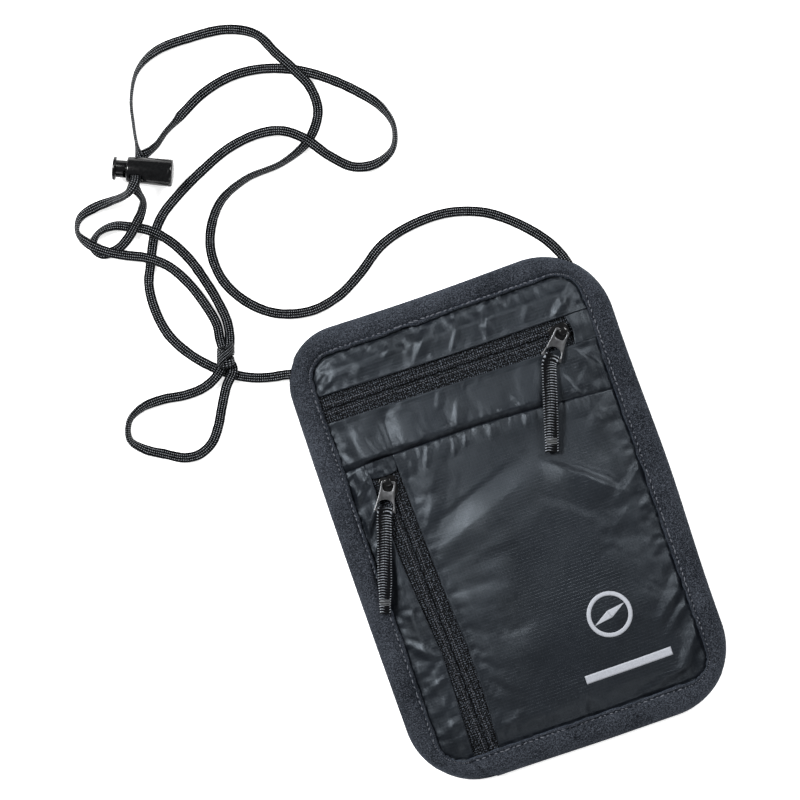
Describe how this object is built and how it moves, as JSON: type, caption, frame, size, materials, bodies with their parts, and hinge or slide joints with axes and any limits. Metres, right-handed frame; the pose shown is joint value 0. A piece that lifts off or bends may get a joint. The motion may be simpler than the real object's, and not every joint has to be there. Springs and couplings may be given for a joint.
{
  "type": "neck pouch wallet",
  "caption": "Flat zipped travel pouch with bound edges, a zipped front pocket with a raised panel, corded zip pulls and a loose neck drawcord with a knot and a spring cord lock.",
  "frame": {"origin": "under the middle of the pouch, on the plane its back rests on", "axes": "+X across the pouch to the wearer's left, +Y towards the top zip, +Z out of the front"},
  "size_m": [0.1889, 0.3013, 0.0141],
  "materials": {
    "shell_fabric": "thin satin nylon ripstop",
    "lining_fabric": "plain woven nylon",
    "binding_fabric": "brushed stretch binding",
    "zip_tape": "knitted polyester tape",
    "zip_coil": "moulded nylon coil",
    "slider_metal": "gloss black enamel",
    "pull_metal": "gunmetal satin",
    "pull_webbing": "ribbed grosgrain",
    "reflective_print": "silver reflective film",
    "cord_braid": "flat braided polyester",
    "lock_plastic": "glossy moulded nylon",
    "spring_steel": "drawn wire"
  },
  "bodies": {
    "pouch": {"back_panel": "shell_fabric", "inner_divider": "lining_fabric", "front_top_panel": "shell_fabric", "front_yoke_panel": "shell_fabric", "front_side_panel": "shell_fabric", "front_main_panel": "shell_fabric", "cord_anchor_right": "binding_fabric", "cord_anchor_left": "binding_fabric", "edge_binding": "binding_fabric", "top_zip_end_tab": "shell_fabric", "side_zip_garage_tab": "shell_fabric", "reflective_mark": "reflective_print", "reflective_bar": "reflective_print", "top_zip_tape_upper": "zip_tape", "top_zip_coil_upper": "zip_coil", "top_zip_tape_lower": "zip_tape", "top_zip_coil_lower": "zip_coil", "side_zip_tape_left": "zip_tape", "side_zip_coil_left": "zip_coil", "side_zip_tape_right": "zip_tape", "side_zip_coil_right": "zip_coil", "cord_right_run": "cord_braid", "cord_left_run": "cord_braid", "cord_tail_one": "cord_braid", "cord_tail_two": "cord_braid", "cord_end_loop": "cord_braid", "cord_pass_upper": "cord_braid", "cord_pass_lower": "cord_braid", "cord_knot": "cord_braid"},
    "top_slider": {"top_zip_slider": "slider_metal"},
    "top_pull_tab": {"top_zip_pull_tab": "pull_metal"},
    "top_pull_strap": {"top_zip_pull_strap": "pull_webbing"},
    "side_slider": {"side_zip_slider": "slider_metal"},
    "side_pull_tab": {"side_zip_pull_tab": "pull_metal"},
    "side_pull_strap": {"side_zip_pull_strap": "pull_webbing"},
    "cord_lock": {"cord_lock_barrel": "lock_plastic", "cord_lock_spring": "spring_steel"},
    "lock_button": {"cord_lock_button": "lock_plastic"}
  },
  "joints": [
    {"name": "top_zip_run", "type": "slide", "parent": "pouch", "child": "top_slider", "axis": [-0.9999, 0.0122, 0], "range_m": [0, 0.078]},
    {"name": "top_pull_tab_swing", "type": "hinge", "parent": "top_slider", "child": "top_pull_tab", "pos_m": [0.0416, 0.05969, 0.0063], "axis": [-0.7314, 0.682, 0], "range_deg": [0, 90]},
    {"name": "top_pull_strap_swing", "type": "hinge", "parent": "top_pull_tab", "child": "top_pull_strap", "pos_m": [0.03437, 0.05194, 0.0063], "axis": [-0.7314, 0.682, 0], "range_deg": [0, 80]},
    {"name": "side_zip_run", "type": "slide", "parent": "pouch", "child": "side_slider", "axis": [0.0297, -0.9996, 0], "range_m": [0, 0.092]},
    {"name": "side_pull_tab_swing", "type": "hinge", "parent": "side_slider", "child": "side_pull_tab", "pos_m": [-0.03863, 0.02789, 0.0063], "axis": [-0.9063, 0.4226, 0], "range_deg": [0, 90]},
    {"name": "side_pull_strap_swing", "type": "hinge", "parent": "side_pull_tab", "child": "side_pull_strap", "pos_m": [-0.04311, 0.01828, 0.0063], "axis": [-0.9063, 0.4226, 0], "range_deg": [0, 80]},
    {"name": "lock_run", "type": "slide", "parent": "pouch", "child": "cord_lock", "axis": [-0.2876, -0.646, 0.7071], "range_m": [0, 0.002]},
    {"name": "lock_button_press", "type": "slide", "parent": "cord_lock", "child": "lock_button", "axis": [0.9135, -0.4067, 0], "range_m": [0, 0.003], "stiffness_N_per_m": 300, "springref_m": -0.004, "deforming": ["cord_lock_spring"]}
  ]
}
